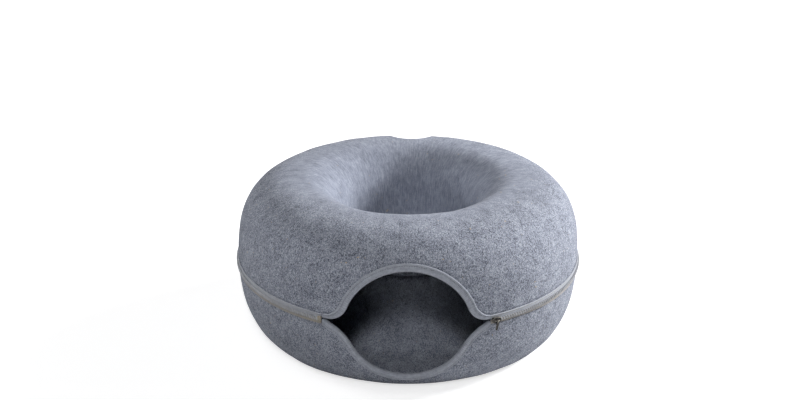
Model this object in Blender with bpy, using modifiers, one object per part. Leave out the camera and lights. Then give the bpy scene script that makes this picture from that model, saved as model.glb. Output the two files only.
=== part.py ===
"""Felt cat cave: a ring-shaped tunnel of two moulded felt shells, zipped together round the outside.

Each shell is one sheet of felt with a dome in its middle. The two domes meet end to end, so the tunnel runs
round them, and the upper one is a well from above.

Metres, +Z up, at real size. The origin lies on the floor, in the middle of the outline. The mouth faces -Y.
An azimuth is an angle about the ring's own axis, in degrees: 0 at the mouth's middle, growing towards +X.
A height on a wall is a distance along the felt from the zip line, upwards on the upper shell and downwards
on the lower one. Out is a distance off the felt's outer face.
"""

import math

import bmesh
import bpy
import numpy as np
from mathutils import Vector

# The ring
RING_RADIUS = 0.250
RING_HEIGHT = 0.227
ZIP_HEIGHT = 0.1095
CROWN_RADIUS = 0.155
FLOOR_RADIUS = 0.194
FELT = 0.004
GAP = 0.0003
# The mouth cuts the seam away in front, so the outline's middle lies behind the ring's axis.
AXIS_Y = -0.007

# How square each quarter of the section is: 2 is an ellipse, more is squarer
UPPER_FULLNESS = 2.7
LOWER_FULLNESS = 2.3
FINE_STEPS = 240

# The well in the middle: each shell has a dome there, and their flat ends meet at the zip's height
WELL_RADIUS = 0.098
WELL_SHOULDER_HEIGHT = 0.162
WAIST_RADIUS = 0.094
WAIST_ROUNDING = 0.005
FOOT_RADIUS = 0.099
FOOT_HEIGHT = 0.055
FOOT_WIDTH = 0.046

# The mouth's finished outline on each shell: an arc over the middle, then a foot arc, closing to a level slit
MOUTH = {
    "upper": {"rise": 0.0775, "arc": 0.088, "foot": 0.030},
    "lower": {"rise": 0.0822, "arc": 0.085, "foot": 0.062},
}
SLIT = 0.001
MOUTH_END = 27.2
MOUTH_CLOSING = 2.4

# The tape folded over the mouth's edges
BINDING = 0.001
BINDING_FOLD_GAP = 0.0007
LIP = BINDING + BINDING_FOLD_GAP
BINDING_WIDTH = {"upper": 0.010, "lower": 0.0066}
BINDING_END_WIDTH = {"upper": 0.0055, "lower": 0.0085}
BINDING_INSIDE_WIDTH = 0.008
BINDING_INSIDE_GAP = 0.0008
BINDING_FOLD_DROP = 0.0006
BINDING_LEFT_END = -26.9
BINDING_RIGHT_END = 26.0
BINDING_ENDING = 2.4

# The zip
TAPE = 0.001
TAPE_TOP = {"upper": 0.0070, "lower": 0.0078}
TAPE_BOTTOM = 0.0005
TAPE_END_GAP = 0.15
CHAIN_HALF_HEIGHT = 0.003
CHAIN = 0.0022
SLIDER_AZIMUTH = 27.75
SLIDER_LENGTH = 0.0128
SLIDER_HEIGHT = 0.0085
SLIDER = 0.0040
SLIDER_NOSE_HEIGHT = 0.0062
SLIDER_ROUNDING = 0.0006
STOP_LENGTH = 0.005
STOP_HEIGHT = 0.0078
STOP = 0.0026
STOP_ROUNDING = 0.0005
BAIL_WIRE = 0.0006
BAIL_HALF_LENGTH = 0.0036
BAIL_RISE = 0.0022
PULL_RING_RADIUS = 0.0017
PULL_RING_WIRE = 0.0005
PULL_LENGTH = 0.0135
PULL_WIDTH = 0.0042
PULL_TIP_WIDTH = 0.0034
PULL = 0.0012
PULL_ROUNDING = 0.0004
PULL_OVERLAP = 0.0001
PULL_LEAN = math.radians(12)

# The round peep hole through the crown, at the back
PEEP_RADIUS = 0.034
PEEP_FROM_AXIS = 0.200
PEEP_AZIMUTH = 179.0
PEEP_CUT_DEPTH = 0.080

# How finely the surfaces are divided
MOUTH_STEP = 1.6
RING_STEP = 7.6
WALL_ROWS = {"upper": 9, "lower": 7}
SHOULDER_ROWS = 7
FOOT_ROWS = 5
ROUNDING_ROWS = 2
ROUND_STEPS = 24
WIRE_STEPS = 8
BEVEL_STEPS = 2
WELD_DISTANCE = 0.00001
SMOOTH_UP_TO = math.radians(35)

FINISHES = {
    "felt": {"colour": (0.235, 0.250, 0.300, 1.0), "roughness": 0.95, "metallic": 0.0},
    "binding": {"colour": (0.300, 0.315, 0.360, 1.0), "roughness": 0.85, "metallic": 0.0},
    "tape": {"colour": (0.400, 0.400, 0.420, 1.0), "roughness": 0.80, "metallic": 0.0},
    "coil": {"colour": (0.430, 0.410, 0.390, 1.0), "roughness": 0.50, "metallic": 0.0},
    "metal": {"colour": (0.120, 0.110, 0.100, 1.0), "roughness": 0.35, "metallic": 1.0},
}


# ---------------------------------------------------------------- the section


def quarter(centre, size, fullness):
    """Points of a quarter of a superellipse, from its side to its top."""
    points = []
    for step in range(FINE_STEPS + 1):
        turn = 0.5 * math.pi * step / FINE_STEPS
        across = max(math.cos(turn), 0.0) ** (2 / fullness)
        up = math.sin(turn) ** (2 / fullness)
        points.append((centre[0] + size[0] * across, centre[1] + size[1] * up))
    return np.array(points)


def measured(points):
    """A line of the section with the distance along it at each of its points."""
    steps = np.hypot(*np.diff(points, axis=0).T)
    return {"along": np.concatenate([[0.0], np.cumsum(steps)]), "points": points}


def section_point(line, along):
    """Radius and height of a point of a section line, at a distance along it."""
    return [float(np.interp(along, line["along"], line["points"][:, i])) for i in (0, 1)]


def section_normal(line, along):
    """Unit vector square to a section line, to the left of its direction."""
    nearby = 0.0005
    last = line["along"][-1]
    start = section_point(line, min(max(along - nearby, 0.0), last - nearby))
    end = section_point(line, min(max(along + nearby, nearby), last))
    across, up = end[0] - start[0], end[1] - start[1]
    length = math.hypot(across, up)
    return -up / length, across / length


UPPER_SIZE = (RING_RADIUS - CROWN_RADIUS, RING_HEIGHT - ZIP_HEIGHT)
LOWER_SIZE = (RING_RADIUS - FLOOR_RADIUS, -ZIP_HEIGHT)
WALL = {
    "upper": measured(quarter((CROWN_RADIUS, ZIP_HEIGHT), UPPER_SIZE, UPPER_FULLNESS)),
    "lower": measured(quarter((FLOOR_RADIUS, ZIP_HEIGHT), LOWER_SIZE, LOWER_FULLNESS)),
}


def around(azimuth, radius, height):
    """A point at an azimuth about the ring's axis."""
    turn = math.radians(azimuth)
    return radius * math.sin(turn), -radius * math.cos(turn), height


def on_wall(side, azimuth, along, out):
    """A point at a height along the wall and a distance off its outer face."""
    radius, height = section_point(WALL[side], along)
    across, up = section_normal(WALL[side], along)
    sign = -1 if side == "upper" else 1
    return around(azimuth, radius + sign * out * across, height + sign * out * up)


def off_zip_line(azimuth, height, out):
    """A point at a height over the zip line, off the upright face that both shells have there."""
    return around(azimuth, RING_RADIUS + out, ZIP_HEIGHT + height)


# ---------------------------------------------------------------- the mouth's edge


def mouth_edge(side, azimuth, grow=0.0):
    """Height of the mouth's finished edge at an azimuth or, with grow, of a line that runs beside it."""
    shape = MOUTH[side]
    arc, foot, rest = shape["arc"] + grow, shape["foot"] - grow, SLIT + grow
    centre = shape["rise"] - shape["arc"]
    foot_along = math.sqrt((arc + foot) ** 2 - (rest + foot - centre) ** 2)
    along = abs(math.radians(azimuth)) * RING_RADIUS
    if along < foot_along * arc / (arc + foot):
        return centre + math.sqrt(arc**2 - along**2)
    height = rest
    if along < foot_along:
        height = rest + foot - math.sqrt(foot**2 - (along - foot_along) ** 2)
    share = min(max((MOUTH_END - abs(azimuth)) / MOUTH_CLOSING, 0.0), 1.0)
    return rest + (height - rest) * share * share * (3 - 2 * share)


def felt_edge(side, azimuth):
    """Height of the felt's own cut edge, inside the fold of the binding."""
    return mouth_edge(side, azimuth, LIP)


def beside_mouth(side, azimuth, inwards):
    """Azimuth and height of the point that lies inwards of the felt's edge.

    It lies square to that edge, but straight above or below it at the binding's ends.
    """
    nearby = 0.05
    rise = felt_edge(side, azimuth + nearby) - felt_edge(side, azimuth - nearby)
    run = math.radians(2 * nearby) * RING_RADIUS
    length = math.hypot(rise, run)
    turn = math.degrees(-rise / length * inwards / RING_RADIUS)
    from_end = min(BINDING_RIGHT_END - azimuth, azimuth - BINDING_LEFT_END)
    share = min(max(from_end / BINDING_ENDING, 0.0), 1.0)
    return azimuth + share * turn, felt_edge(side, azimuth) + run / length * inwards


def binding_width(side, azimuth):
    """Width of the binding's outer leg: full round the arc, less at its two ends."""
    arc_end = math.degrees(MOUTH[side]["arc"] / RING_RADIUS)
    share = (MOUTH_END - abs(azimuth)) / (MOUTH_END - arc_end)
    share = min(max(share, 0.0), 1.0)
    eased = share * share * (3 - 2 * share)
    return BINDING_END_WIDTH[side] + eased * (BINDING_WIDTH[side] - BINDING_END_WIDTH[side])


# ---------------------------------------------------------------- meshes and objects


def spaced(start, end, step):
    """Even places from start to end, both included, about a step apart."""
    count = max(1, round((end - start) / step))
    return [start + (end - start) * i / count for i in range(count + 1)]


def mouth_azimuths():
    """Azimuths across the mouth, which the shells and their bindings share."""
    return spaced(-MOUTH_END, MOUTH_END, MOUTH_STEP)


def ring_azimuths():
    """Every azimuth of the shells: close together across the mouth, and wider behind it."""
    return mouth_azimuths() + spaced(MOUTH_END, 360 - MOUTH_END, RING_STEP)[1:-1]


def surface(columns, closed, disc_row=None):
    """A mesh of quads between neighbouring columns of points, with a flat disc at one end of a closed ring."""
    mesh = bmesh.new()
    rows = [[mesh.verts.new(point) for point in column] for column in columns]
    pairs = list(zip(rows, rows[1:]))
    if closed:
        pairs.append((rows[-1], rows[0]))
    for left, right in pairs:
        for i in range(len(left) - 1):
            mesh.faces.new((left[i], right[i], right[i + 1], left[i + 1]))
    if disc_row is not None:
        ring = [row[disc_row] for row in rows]
        mesh.faces.new(ring if disc_row == -1 else ring[::-1])
    return mesh


def material(name):
    """One of the plain finishes."""
    finish = bpy.data.materials.new(name)
    finish.use_nodes = True
    finish.diffuse_color = FINISHES[name]["colour"]
    shader = finish.node_tree.nodes["Principled BSDF"]
    shader.inputs["Base Color"].default_value = FINISHES[name]["colour"]
    shader.inputs["Roughness"].default_value = FINISHES[name]["roughness"]
    shader.inputs["Metallic"].default_value = FINISHES[name]["metallic"]
    return finish


def add(name, mesh, finish, collection, parent):
    """An object of this mesh, smooth over its gentle edges."""
    data = bpy.data.meshes.new(name)
    mesh.to_mesh(data)
    mesh.free()
    data.materials.append(finish)
    data.shade_smooth()
    data.set_sharp_from_angle(angle=SMOOTH_UP_TO)
    obj = bpy.data.objects.new(name, data)
    collection.objects.link(obj)
    obj.parent = parent
    return obj


def thicken(obj, thickness, offset):
    """Gives a sheet its thickness: offset -1 puts it behind its faces, 1 in front of them."""
    solidify = obj.modifiers.new("thickness", "SOLIDIFY")
    solidify.thickness = thickness
    solidify.offset = offset
    solidify.use_even_offset = True


# ---------------------------------------------------------------- felt shells


def arc_rows(centre, size, rows):
    """Points of an elliptic quarter of the section, from its side to its top or bottom, in even turns."""
    turns = [0.5 * math.pi * share for share in spaced(0.0, 1.0, 1 / rows)]
    return [(centre[0] + size[0] * math.cos(t), centre[1] + size[1] * math.sin(t)) for t in turns]


def well_line():
    """The well's side of the upper shell, from just inside the crown down to the rim of the dome's flat end."""
    end = ZIP_HEIGHT + GAP / 2 + FELT
    shoulder_size = (WELL_RADIUS - CROWN_RADIUS, RING_HEIGHT - WELL_SHOULDER_HEIGHT)
    shoulder = arc_rows((CROWN_RADIUS, WELL_SHOULDER_HEIGHT), shoulder_size, SHOULDER_ROWS)[::-1]
    rim = (WAIST_RADIUS - WAIST_ROUNDING, end + WAIST_ROUNDING)
    return shoulder[1:] + arc_rows(rim, (WAIST_ROUNDING, -WAIST_ROUNDING), ROUNDING_ROWS)


def dome_line():
    """The hollow side of the lower shell's dome, from the rim of its flat end down to the floor."""
    end = ZIP_HEIGHT - GAP / 2 - FELT
    rim = (WAIST_RADIUS - WAIST_ROUNDING, end - WAIST_ROUNDING)
    foot = (FOOT_RADIUS + FOOT_WIDTH, FOOT_HEIGHT)
    rounding = arc_rows(rim, (WAIST_ROUNDING, WAIST_ROUNDING), ROUNDING_ROWS)[::-1]
    return rounding + arc_rows(foot, (-FOOT_WIDTH, -FOOT_HEIGHT), FOOT_ROWS)


def upper_column(azimuth):
    """One meridian of the upper shell: up the wall from its edge, over the crown and down the well."""
    edge, top = felt_edge("upper", azimuth), WALL["upper"]["along"][-1]
    points = []
    for share in spaced(0.0, 1.0, 1 / WALL_ROWS["upper"]):
        points.append(on_wall("upper", azimuth, edge + share * (top - edge), 0.0))
    return points + [around(azimuth, *place) for place in well_line()]


def lower_column(azimuth):
    """One meridian of the lower shell: down its dome, out along the floor, then up the wall."""
    edge, bottom = felt_edge("lower", azimuth), WALL["lower"]["along"][-1]
    points = [around(azimuth, *place) for place in dome_line()]
    for share in spaced(0.0, 1.0, 1 / WALL_ROWS["lower"]):
        points.append(on_wall("lower", azimuth, bottom + share * (edge - bottom), 0.0))
    return points


def make_shell(name, column, disc_row, finish, collection, parent):
    """A felt shell: its outer face, given the felt's thickness on the tunnel's side."""
    mesh = surface([column(azimuth) for azimuth in ring_azimuths()], True, disc_row)
    shell = add(name, mesh, finish, collection, parent)
    thicken(shell, FELT, -1)
    return shell


def peep_direction():
    """Height of the crown over the peep hole's middle, and how far the crown leans out there."""
    line = WALL["upper"]
    along = float(np.interp(-PEEP_FROM_AXIS, -line["points"][:, 0], line["along"]))
    across, up = section_normal(line, along)
    return section_point(line, along)[1], math.atan2(-across, -up)


def cut_peep_hole(shell, cutters, parent):
    """Cuts the round peep hole square through the crown."""
    height, lean = peep_direction()
    bpy.ops.mesh.primitive_cylinder_add(vertices=ROUND_STEPS, radius=PEEP_RADIUS, depth=PEEP_CUT_DEPTH)
    cutter = bpy.context.active_object
    cutter.name = "peep_cutter"
    for collection in list(cutter.users_collection):
        collection.objects.unlink(cutter)
    cutters.objects.link(cutter)
    cutter.parent = parent
    cutter.location = around(PEEP_AZIMUTH, PEEP_FROM_AXIS, height)
    cutter.rotation_euler = (lean, 0.0, math.radians(PEEP_AZIMUTH))
    cutter.hide_render = True
    cutter.display_type = "WIRE"
    hole = shell.modifiers.new("peep hole", "BOOLEAN")
    hole.operation = "DIFFERENCE"
    hole.object = cutter


# ---------------------------------------------------------------- binding and zip


def binding_column(side, azimuth):
    """The binding's fold across the felt's edge, from its outer hem round the edge to its inner hem."""
    width = binding_width(side, azimuth)
    fold = (
        (width, GAP),
        (width / 2, GAP),
        (0.0, GAP),
        (-BINDING_FOLD_GAP, -BINDING_FOLD_DROP),
        (-BINDING_FOLD_GAP, BINDING_FOLD_DROP - FELT),
        (0.0, -FELT - BINDING_INSIDE_GAP),
        (BINDING_INSIDE_WIDTH / 2, -FELT - BINDING_INSIDE_GAP),
        (BINDING_INSIDE_WIDTH, -FELT - BINDING_INSIDE_GAP),
    )
    points = []
    for inwards, out in fold:
        turned, along = beside_mouth(side, azimuth, inwards)
        points.append(on_wall(side, turned, along, out))
    return points if side == "lower" else points[::-1]


def make_binding(side, finish, collection, parent):
    """The tape folded over one shell's edge of the mouth."""
    between = [a for a in mouth_azimuths() if BINDING_LEFT_END < a < BINDING_RIGHT_END]
    places = [BINDING_LEFT_END, *between, BINDING_RIGHT_END]
    columns = [binding_column(side, azimuth) for azimuth in places]
    binding = add(f"{side}_binding", surface(columns, False), finish, collection, parent)
    thicken(binding, BINDING, 1)
    return binding


def band_azimuths(start, end):
    """The shells' azimuths along a band from start on the right, round the back, to end on the left."""
    between = [azimuth for azimuth in ring_azimuths() if start < azimuth < 360 + end]
    return [start, *between, 360 + end]


def make_tape(side, finish, collection, parent):
    """One tape of the zip, sewn flat on its shell's outer face along the seam."""
    start, end = BINDING_RIGHT_END + TAPE_END_GAP, BINDING_LEFT_END - TAPE_END_GAP
    low, high = TAPE_BOTTOM, TAPE_TOP[side]
    if side == "lower":
        low, high = -high, -low
    columns = []
    for azimuth in band_azimuths(start, end):
        columns.append([off_zip_line(azimuth, height, GAP) for height in (low, high)])
    tape = add(f"{side}_zip_tape", surface(columns, False), finish, collection, parent)
    thicken(tape, TAPE, 1)
    return tape


def slider_end():
    """Azimuth where the slider's body ends and the closed chain starts."""
    return SLIDER_AZIMUTH + math.degrees((SLIDER_LENGTH / 2 + GAP) / RING_RADIUS)


def stop_azimuth():
    """Azimuth of the end stop's middle, just past the left end of the mouth."""
    return BINDING_LEFT_END - math.degrees((STOP_LENGTH / 2 + GAP) / RING_RADIUS)


def make_chain(finish, collection, parent):
    """The closed zip chain, from the slider round the back to the end stop."""
    stop = stop_azimuth() - math.degrees((STOP_LENGTH / 2 + GAP) / RING_RADIUS)
    out = GAP + TAPE + GAP
    edges = (-CHAIN_HALF_HEIGHT, CHAIN_HALF_HEIGHT)
    columns = []
    for azimuth in band_azimuths(slider_end(), stop):
        columns.append([off_zip_line(azimuth, height, out) for height in edges])
    chain = add("zip_chain", surface(columns, False), finish, collection, parent)
    thicken(chain, CHAIN, 1)
    return chain


def seat(name, azimuth, collection, parent):
    """An empty on the zip line that faces straight out: X runs along the zip, -Y points out."""
    empty = bpy.data.objects.new(name, None)
    collection.objects.link(empty)
    empty.parent = parent
    empty.location = off_zip_line(azimuth, 0.0, 0.0)
    empty.rotation_euler = (0.0, 0.0, math.radians(azimuth))
    return empty


def block(size, centre):
    """A box of this size, as a mesh."""
    mesh = bmesh.new()
    bmesh.ops.create_cube(mesh, size=1.0)
    bmesh.ops.scale(mesh, vec=Vector(size), verts=mesh.verts)
    bmesh.ops.translate(mesh, vec=Vector(centre), verts=mesh.verts)
    return mesh


def round_edges(obj, width):
    """Rounds a small piece's edges."""
    bevel = obj.modifiers.new("rounded", "BEVEL")
    bevel.width = width
    bevel.segments = BEVEL_STEPS
    bevel.limit_method = "ANGLE"


def wire(name, points, thickness, closed, collection):
    """A round wire through these points, as a mesh with welded caps."""
    curve = bpy.data.curves.new(name, "CURVE")
    curve.dimensions = "3D"
    curve.bevel_depth = thickness
    curve.bevel_resolution = 2
    curve.use_fill_caps = not closed
    spline = curve.splines.new("POLY")
    spline.points.add(len(points) - 1)
    for point, place in zip(spline.points, points):
        point.co = (*place, 1.0)
    spline.use_cyclic_u = closed
    drawn = bpy.data.objects.new(name, curve)
    collection.objects.link(drawn)
    graph = bpy.context.evaluated_depsgraph_get()
    data = bpy.data.meshes.new_from_object(drawn.evaluated_get(graph))
    bpy.data.objects.remove(drawn)
    mesh = bmesh.new()
    mesh.from_mesh(data)
    bmesh.ops.remove_doubles(mesh, verts=mesh.verts, dist=WELD_DISTANCE)
    bmesh.ops.recalc_face_normals(mesh, faces=mesh.faces)
    bpy.data.meshes.remove(data)
    return mesh


def join_on(obj, mesh, name, finish, cutters, parent):
    """Joins a second shape on to a piece, so that the two are one body."""
    other = add(name, mesh, finish, cutters, parent)
    other.hide_render = True
    other.display_type = "WIRE"
    union = obj.modifiers.new(name, "BOOLEAN")
    union.operation = "UNION"
    union.object = other


def slider_front():
    """How far the slider's front face stands off the felt."""
    return GAP + TAPE + GAP + SLIDER


def make_slider(finish, collection, cutters, parent):
    """The slider's body, narrower at its nose, with the bail that its pull hangs from."""
    middle = slider_front() - SLIDER / 2
    mesh = block((SLIDER_LENGTH, SLIDER, SLIDER_HEIGHT), (0.0, -middle, 0.0))
    for vert in mesh.verts:
        if vert.co.x > 0:
            vert.co.z *= SLIDER_NOSE_HEIGHT / SLIDER_HEIGHT
    slider = add("zip_slider", mesh, finish, collection, parent)
    round_edges(slider, SLIDER_ROUNDING)
    arch = []
    for step in range(WIRE_STEPS + 1):
        turn = math.pi * step / WIRE_STEPS
        out = slider_front() - BAIL_WIRE + (BAIL_RISE + BAIL_WIRE) * math.sin(turn)
        arch.append((-BAIL_HALF_LENGTH * math.cos(turn), -out, 0.0))
    join_on(slider, wire("bail", arch, BAIL_WIRE, False, cutters), "bail", finish, cutters, parent)
    return slider


def make_stop(finish, collection, parent):
    """The stop that closes the zip's left end."""
    middle = GAP + TAPE + GAP + STOP / 2
    mesh = block((STOP_LENGTH, STOP, STOP_HEIGHT), (0.0, -middle, 0.0))
    stop = add("zip_end_stop", mesh, finish, collection, parent)
    round_edges(stop, STOP_ROUNDING)
    return stop


def make_pull(finish, collection, cutters, parent):
    """The pull: a flat tab under a small ring that hangs in the bail."""
    hang = bpy.data.objects.new("pull_hang", None)
    collection.objects.link(hang)
    hang.parent = parent
    bail_out = slider_front() + BAIL_RISE
    inner = PULL_RING_RADIUS - PULL_RING_WIRE
    hang.location = (0.0, -bail_out, BAIL_WIRE + GAP - inner)
    hang.rotation_euler = (PULL_LEAN, 0.0, 0.0)
    tab_top = -PULL_RING_RADIUS + PULL_OVERLAP
    mesh = block((PULL_WIDTH, PULL, PULL_LENGTH), (0.0, 0.0, tab_top - PULL_LENGTH / 2))
    for vert in mesh.verts:
        if vert.co.z < tab_top - PULL_LENGTH / 2:
            vert.co.x *= PULL_TIP_WIDTH / PULL_WIDTH
    pull = add("zip_pull", mesh, finish, collection, hang)
    round_edges(pull, PULL_ROUNDING)
    ring = []
    for step in range(2 * WIRE_STEPS):
        turn = math.pi * step / WIRE_STEPS
        ring.append((0.0, PULL_RING_RADIUS * math.sin(turn), PULL_RING_RADIUS * math.cos(turn)))
    loop = wire("pull_ring", ring, PULL_RING_WIRE, True, cutters)
    join_on(pull, loop, "pull_ring", finish, cutters, hang)
    return pull


# ---------------------------------------------------------------- the whole cave


def build():
    for obj in list(bpy.data.objects):
        bpy.data.objects.remove(obj)
    cave = bpy.data.collections.new("felt_cat_cave")
    cutters = bpy.data.collections.new("cutters")
    for collection in (cave, cutters):
        bpy.context.scene.collection.children.link(collection)
    axis = bpy.data.objects.new("ring_axis", None)
    cave.objects.link(axis)
    axis.location = (0.0, AXIS_Y, 0.0)

    felt = material("felt")
    binding = material("binding")
    tape = material("tape")
    coil = material("coil")
    metal = material("metal")

    upper = make_shell("upper_shell", upper_column, -1, felt, cave, axis)
    cut_peep_hole(upper, cutters, axis)
    make_shell("lower_shell", lower_column, 0, felt, cave, axis)
    for side in ("upper", "lower"):
        make_binding(side, binding, cave, axis)
        make_tape(side, tape, cave, axis)
    make_chain(coil, cave, axis)
    make_stop(coil, cave, seat("stop_seat", stop_azimuth(), cave, axis))
    slider_seat = seat("slider_seat", SLIDER_AZIMUTH, cave, axis)
    make_slider(metal, cave, cutters, slider_seat)
    make_pull(metal, cave, cutters, slider_seat)


build()
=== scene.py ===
import math
import random

import bmesh
import bpy
import numpy as np
from mathutils import Euler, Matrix, Quaternion, Vector, noise


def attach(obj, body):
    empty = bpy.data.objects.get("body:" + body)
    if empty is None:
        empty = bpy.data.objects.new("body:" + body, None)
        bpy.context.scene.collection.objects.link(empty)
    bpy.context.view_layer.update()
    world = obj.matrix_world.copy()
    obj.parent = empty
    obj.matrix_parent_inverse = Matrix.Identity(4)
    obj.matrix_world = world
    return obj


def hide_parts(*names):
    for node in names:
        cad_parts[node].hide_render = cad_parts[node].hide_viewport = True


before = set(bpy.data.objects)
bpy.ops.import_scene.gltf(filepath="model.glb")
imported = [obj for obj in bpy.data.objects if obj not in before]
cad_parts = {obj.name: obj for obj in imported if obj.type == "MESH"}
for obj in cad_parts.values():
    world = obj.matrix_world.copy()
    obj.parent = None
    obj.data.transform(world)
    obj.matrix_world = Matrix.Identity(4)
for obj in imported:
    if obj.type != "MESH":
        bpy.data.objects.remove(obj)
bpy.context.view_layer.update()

# ------------------------------------------------------------------ sizes, in metres
# An azimuth is an angle about the ring's axis, in degrees: 0 at the mouth's middle, growing towards +X.
# Along is a distance over the felt from the zip line, and out is a distance off the felt's outer face.
RING_RADIUS = 0.250
RING_HEIGHT = 0.227
ZIP_HEIGHT = 0.1095
CROWN_RADIUS = 0.155
FLOOR_RADIUS = 0.194
FELT = 0.004
GAP = 0.0003
AXIS_Y = -0.007
UPPER_FULLNESS = 2.7
LOWER_FULLNESS = 2.3

WELL_RADIUS = 0.098
WELL_SHOULDER_HEIGHT = 0.162
WAIST_RADIUS = 0.094
WAIST_ROUNDING = 0.005
FOOT_RADIUS = 0.099
FOOT_HEIGHT = 0.055
FOOT_WIDTH = 0.046
DISC_CENTRE = 0.004
ROUNDING_STEPS = 16
LONG_ARC_STEPS = 80

MOUTH = {
    "upper": {"rise": 0.0775, "arc": 0.088, "foot": 0.030},
    "lower": {"rise": 0.0822, "arc": 0.085, "foot": 0.062},
}
SLIT = 0.001
MOUTH_END = 27.2
MOUTH_CLOSING = 2.4

BINDING = 0.001
LIP = 0.0017
BINDING_WIDTH = {"upper": 0.0091, "lower": 0.0058}
BINDING_END_WIDTH = {"upper": 0.0046, "lower": 0.0075}
BINDING_INSIDE_WIDTH = 0.008
BINDING_INSIDE_GAP = 0.0008
BINDING_LEFT_END = -26.9
BINDING_RIGHT_END = 26.0
BINDING_ENDING = 2.4
BINDING_FOLD_IN = 0.0006
BINDING_FOLD_DROP = 0.0004
BINDING_FOLD_FULLNESS = 0.8
BINDING_INSIDE_DROP = 0.0002

TAPE_TOP = {"upper": 0.0070, "lower": 0.0078}
TAPE_BOTTOM = 0.0005
TAPE_END_GAP = 0.15
LOWER_TAPE_TUCKED = 0.0020
TUCKED_FROM, TUCKED_TO = 30.0, 62.0
SLIDER_AZIMUTH = 27.75
SLIDER_LENGTH = 0.0128
SLIDER_HEIGHT = 0.0085
SLIDER_NOSE_HEIGHT = 0.0062
SLIDER_BACK = 0.0016
SLIDER_FRONT = 0.0056
BAIL_WIRE = 0.0006
BAIL_HALF_LENGTH = 0.0036
BAIL_RISE = 0.0022
PULL_RING_RADIUS = 0.0017
PULL_RING_WIRE = 0.0005
PULL_LENGTH = 0.0135
PULL_WIDTH = 0.0042
PULL_TIP_WIDTH = 0.0034
PULL = 0.0012
PULL_LEAN = math.radians(12)
PULL_ROUNDING = 0.0003
PULL_RIM = 0.0008
PULL_RIM_FOOT = 0.0010
PULL_RECESS = 0.00025
STOP_LENGTH = 0.005

PEEP_RADIUS = 0.034
PEEP_FROM_AXIS = 0.200
PEEP_AZIMUTH = 179.0
PEEP_DEPTH = 0.03


# ------------------------------------------------------------------ the section


class Line:
    """A line of the section, (radius, height) points measured by the distance along it."""

    def __init__(self, points):
        self.points = np.asarray(points, float)
        steps = np.hypot(*np.diff(self.points, axis=0).T)
        self.along = np.r_[0.0, np.cumsum(steps)]
        self.length = float(self.along[-1])

    def at(self, along):
        """Radius and height at distances along the line, which runs straight on past both its ends."""
        along = np.asarray(along, float)
        inside = np.clip(along, 0.0, self.length)
        radius, height = (np.interp(inside, self.along, self.points[:, i]) for i in (0, 1))
        return radius, height

    def frame(self, along, nearby=0.0008):
        """Radius and height, and the unit vector to the line's left, at distances along it."""
        along = np.asarray(along, float)
        low = np.clip(along - nearby, 0.0, self.length - nearby)
        high = np.clip(along + nearby, nearby, self.length)
        start, end = self.at(low), self.at(high)
        across, up = end[0] - start[0], end[1] - start[1]
        size = np.hypot(across, up)
        radius, height = self.at(along)
        return radius, height, -up / size, across / size


def quarter(centre, size, fullness, count=600):
    """Points of a quarter of a superellipse, from its side to its top."""
    turn = np.linspace(0.0, 0.5 * math.pi, count + 1)
    across = np.maximum(np.cos(turn), 0.0) ** (2 / fullness)
    up = np.sin(turn) ** (2 / fullness)
    return np.c_[centre[0] + size[0] * across, centre[1] + size[1] * up]


def arc(centre, size, count):
    """Points of an elliptic quarter, from its side to its top or bottom."""
    return quarter(centre, size, 2, count)


def well_points():
    """The well's side of the upper shell, from the crown to near the middle of its flat bottom."""
    end = ZIP_HEIGHT + GAP / 2 + FELT
    shoulder_size = (WELL_RADIUS - CROWN_RADIUS, RING_HEIGHT - WELL_SHOULDER_HEIGHT)
    shoulder = arc((CROWN_RADIUS, WELL_SHOULDER_HEIGHT), shoulder_size, LONG_ARC_STEPS)[::-1]
    rim = (WAIST_RADIUS - WAIST_ROUNDING, end + WAIST_ROUNDING)
    rounding = arc(rim, (WAIST_ROUNDING, -WAIST_ROUNDING), ROUNDING_STEPS)
    return np.vstack([shoulder[1:], rounding, [(DISC_CENTRE, end)]])


def dome_points():
    """The hollow side of the lower shell's dome, from the floor up to near the middle of its flat top."""
    end = ZIP_HEIGHT - GAP / 2 - FELT
    rim = (WAIST_RADIUS - WAIST_ROUNDING, end - WAIST_ROUNDING)
    rounding = arc(rim, (WAIST_ROUNDING, WAIST_ROUNDING), ROUNDING_STEPS)
    foot = arc((FOOT_RADIUS + FOOT_WIDTH, FOOT_HEIGHT), (-FOOT_WIDTH, -FOOT_HEIGHT), LONG_ARC_STEPS)
    return np.vstack([foot[::-1], rounding, [(DISC_CENTRE, end)]])


UPPER_WALL = quarter(
    (CROWN_RADIUS, ZIP_HEIGHT), (RING_RADIUS - CROWN_RADIUS, RING_HEIGHT - ZIP_HEIGHT), UPPER_FULLNESS
)
LOWER_WALL = quarter((FLOOR_RADIUS, ZIP_HEIGHT), (RING_RADIUS - FLOOR_RADIUS, -ZIP_HEIGHT), LOWER_FULLNESS)
# Each shell's outer face from the zip line to the middle. The upper line has its outer side on its right.
SHELL = {
    "upper": Line(np.vstack([UPPER_WALL, well_points()])),
    "lower": Line(np.vstack([LOWER_WALL, dome_points()])),
}
WALL_LENGTH = {"upper": Line(UPPER_WALL).length, "lower": Line(LOWER_WALL).length}
OUTWARD = {"upper": -1, "lower": 1}


def around(azimuth, radius, height):
    """Points at azimuths about the ring's axis, as an array of rows."""
    azimuth, radius, height = np.broadcast_arrays(azimuth, radius, height)
    turn = np.radians(azimuth)
    return np.stack([radius * np.sin(turn), AXIS_Y - radius * np.cos(turn), height], axis=-1)


def on_shell(side, azimuth, along, out=0.0):
    """Points of a shell at distances along it from the zip line, and off its outer face."""
    radius, height, across, up = SHELL[side].frame(along)
    sign = OUTWARD[side]
    return around(azimuth, radius + sign * out * across, height + sign * out * up)


# ------------------------------------------------------------------ the mouth's edge


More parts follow.
